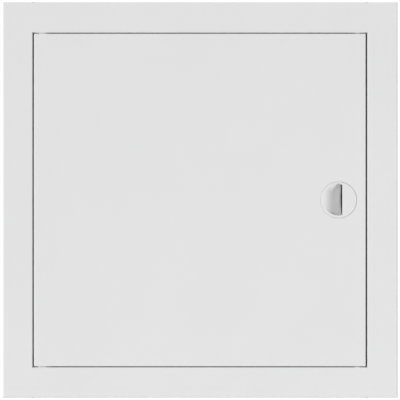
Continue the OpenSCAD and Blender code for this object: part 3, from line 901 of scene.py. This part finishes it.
def recess_depth(x, z):
    """Depth of the recess: the plain floor below the axis, the curled end above it."""
    if z <= 0:
        return ramp_depth(x)
    floor = ramp_depth(CURL_X - math.hypot(CURL_X - x, z))
    edge = edge_depth(x, z)
    share = min(max(0.5 + (edge - floor) / (2 * MERGE), 0), 1)
    return mix(edge, floor, share) - MERGE * share * (1 - share)


def knob_point(x, depth, z):
    low, high = NODES_BOX["latch_knob"]
    return Vector(((low.x + high.x) / 2 + x * MM, low.y + depth * MM, z * MM))


def prism(outline, near, far):
    """A solid with an outline of (x, z) between two depths of the knob."""
    shape = Shape()
    shape.tube([[knob_point(x, depth, z) for x, z in outline] for depth in (near, far)])
    return shape


def recess_grid():
    """Rows of (x, z) over the recess, from the grip wall to its left edge."""
    grid = []
    for row in range(CUTTER_ROWS + 1):
        z = mix(CUTTER_LOW_INSET - LOWER_EDGE_R, UPPER_LIMIT_R - CUTTER_HIGH_INSET, row / CUTTER_ROWS)
        reach = math.sqrt((LOWER_EDGE_R if z <= 0 else UPPER_LIMIT_R) ** 2 - z ** 2)
        right = min(GRIP_X, reach)
        columns = range(CUTTER_COLUMNS + 1)
        grid.append([(mix(right, -reach, column / CUTTER_COLUMNS), z) for column in columns])
    return grid


def floor_point(x, z):
    return knob_point(x, max(recess_depth(x, z), LID_D / 2), z)


def recess_cutter():
    """The half-moon recess as a solid: a curved floor, walls and a flat lid over the face."""
    grid = recess_grid()
    shape = Shape()
    floor = [shape.ring([floor_point(x, z) for x, z in line]) for line in grid]
    lid = [shape.ring([knob_point(x, LID_D, z) for x, z in line]) for line in grid]
    for row in range(CUTTER_ROWS):
        for column in range(CUTTER_COLUMNS):
            corners = ((row, column), (row, column + 1), (row + 1, column + 1), (row + 1, column))
            shape.faces.append(tuple(floor[i][j] for i, j in corners))
            shape.faces.append(tuple(lid[i][j] for i, j in reversed(corners)))
    rim = [(0, column) for column in range(CUTTER_COLUMNS)]
    rim += [(row, CUTTER_COLUMNS) for row in range(CUTTER_ROWS)]
    rim += [(CUTTER_ROWS, column) for column in range(CUTTER_COLUMNS, 0, -1)]
    rim += [(row, 0) for row in range(CUTTER_ROWS, 0, -1)]
    for (i, j), (k, m) in zip(rim, rim[1:] + rim[:1]):
        shape.faces.append((floor[i][j], floor[k][m], lid[k][m], lid[i][j]))
    return shape


def slot_outline():
    """Slot along the grip wall, narrower towards its ends."""
    low_z = -math.sqrt(LOWER_EDGE_R ** 2 - GRIP_X ** 2)
    high_z = math.sqrt(UPPER_EDGE_R ** 2 - GRIP_X ** 2)
    outline = [(GRIP_X, high_z), (GRIP_X, low_z)]
    for step in range(OUTLINE_STEPS + 1):
        share = step / OUTLINE_STEPS
        x = GRIP_X - SLOT_W + SLOT_TAPER * (2 * share - 1) ** 2
        outline.append((x, mix(low_z, high_z, share)))
    return outline


def arc(x, radius, start, end, steps):
    """Points of (x, z) on an arc about a point of the knob's level axis, with both its ends."""
    turns = [mix(start, end, step / steps) for step in range(steps + 1)]
    return [(x + radius * math.cos(turn), radius * math.sin(turn)) for turn in turns]


def hollow_outline():
    span = math.acos((GRIP_X - SLOT_W / 2) / HOLLOW_R)
    return arc(0, HOLLOW_R, -span, span, OUTLINE_STEPS)


def knob_body():
    """Turned body with a small round edge, and the shank behind it."""
    outer_r = half_width(*NODES_BOX["latch_knob"])
    profile = [(CORE_R, 0), (outer_r - 2 * KNOB_EDGE_R, 0), (outer_r - KNOB_EDGE_R, 0)]
    for step in range(1, EDGE_STEPS + 1):
        turn = math.radians(90 * step / EDGE_STEPS)
        profile.append((outer_r - KNOB_EDGE_R * (1 - math.sin(turn)), KNOB_EDGE_R * (1 - math.cos(turn))))
    profile += [(outer_r, KNOB_REAR_D), (SHANK_R, KNOB_REAR_D), (SHANK_R, SHANK_D), (CORE_R, SHANK_D)]
    shape = Shape()
    shape.lathe(profile, knob_point(0, 0, 0), INTO_OPENING, 2 * ROUND)
    return shape


def knob_steps():
    """What is joined to the turned body and then cut from it."""
    half = SQUARE_W / 2
    square = [(half, half), (-half, half), (-half, -half), (half, -half)]
    square_end = span_along(*NODES_BOX["latch_knob"], INTO_OPENING)[1]
    peg = arc(PEG_X, PEG_R, 0, math.tau, SMALL_ROUND)[:-1]
    root = KNOB_REAR_D - ROOT_L
    return (
        ("UNION", prism(square, root, square_end)),
        ("UNION", prism(peg, root, KNOB_REAR_D + PEG_L)),
        ("DIFFERENCE", recess_cutter()),
        ("DIFFERENCE", prism(slot_outline(), SLOT_TOP_D, SLOT_D)),
        ("DIFFERENCE", prism(hollow_outline(), GRIP_WALL_D, SLOT_D)),
    )


def make_knob():
    """The knob as one solid: turned body, square and peg, less the recess, slot and hollow."""
    scene = bpy.context.scene
    work = bpy.data.objects.new("knob_work", knob_body().mesh("knob_body"))
    scene.collection.objects.link(work)
    tools = []
    for operation, shape in knob_steps():
        tool = bpy.data.objects.new("knob_tool", shape.mesh("knob_tool"))
        scene.collection.objects.link(tool)
        tools.append(tool)
        step = work.modifiers.new("cut", "BOOLEAN")
        step.operation = operation
        step.solver = "EXACT"
        step.object = tool
    view = bpy.context.evaluated_depsgraph_get()
    mesh = bpy.data.meshes.new_from_object(work.evaluated_get(view))
    for leftover in (work, *tools):
        bpy.data.objects.remove(leftover)
    mesh.name = "knob_scooped"
    mesh.materials.clear()
    piece = add_mesh(mesh, "knob_scooped", "latch", "knob_plastic", KNOB_CREASE)
    piece.modifiers.new("even_shade", "WEIGHTED_NORMAL").keep_sharp = True
    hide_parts("latch_knob")


make_camera()
make_world()
make_key()
make_lamps()
make_floor()
dress_nodes()
make_rivets("rail_rivets", "frame", True)
make_rivets("stiffener_rivets", "door", False)
make_studs()
make_nuts()
make_bush("upper_hinge_bush")
make_bush("lower_hinge_bush")
make_buffers()
make_spring()
make_spot_welds()
make_corner_welds()
make_knob()

bpy.context.scene.view_settings.view_transform = "Standard"
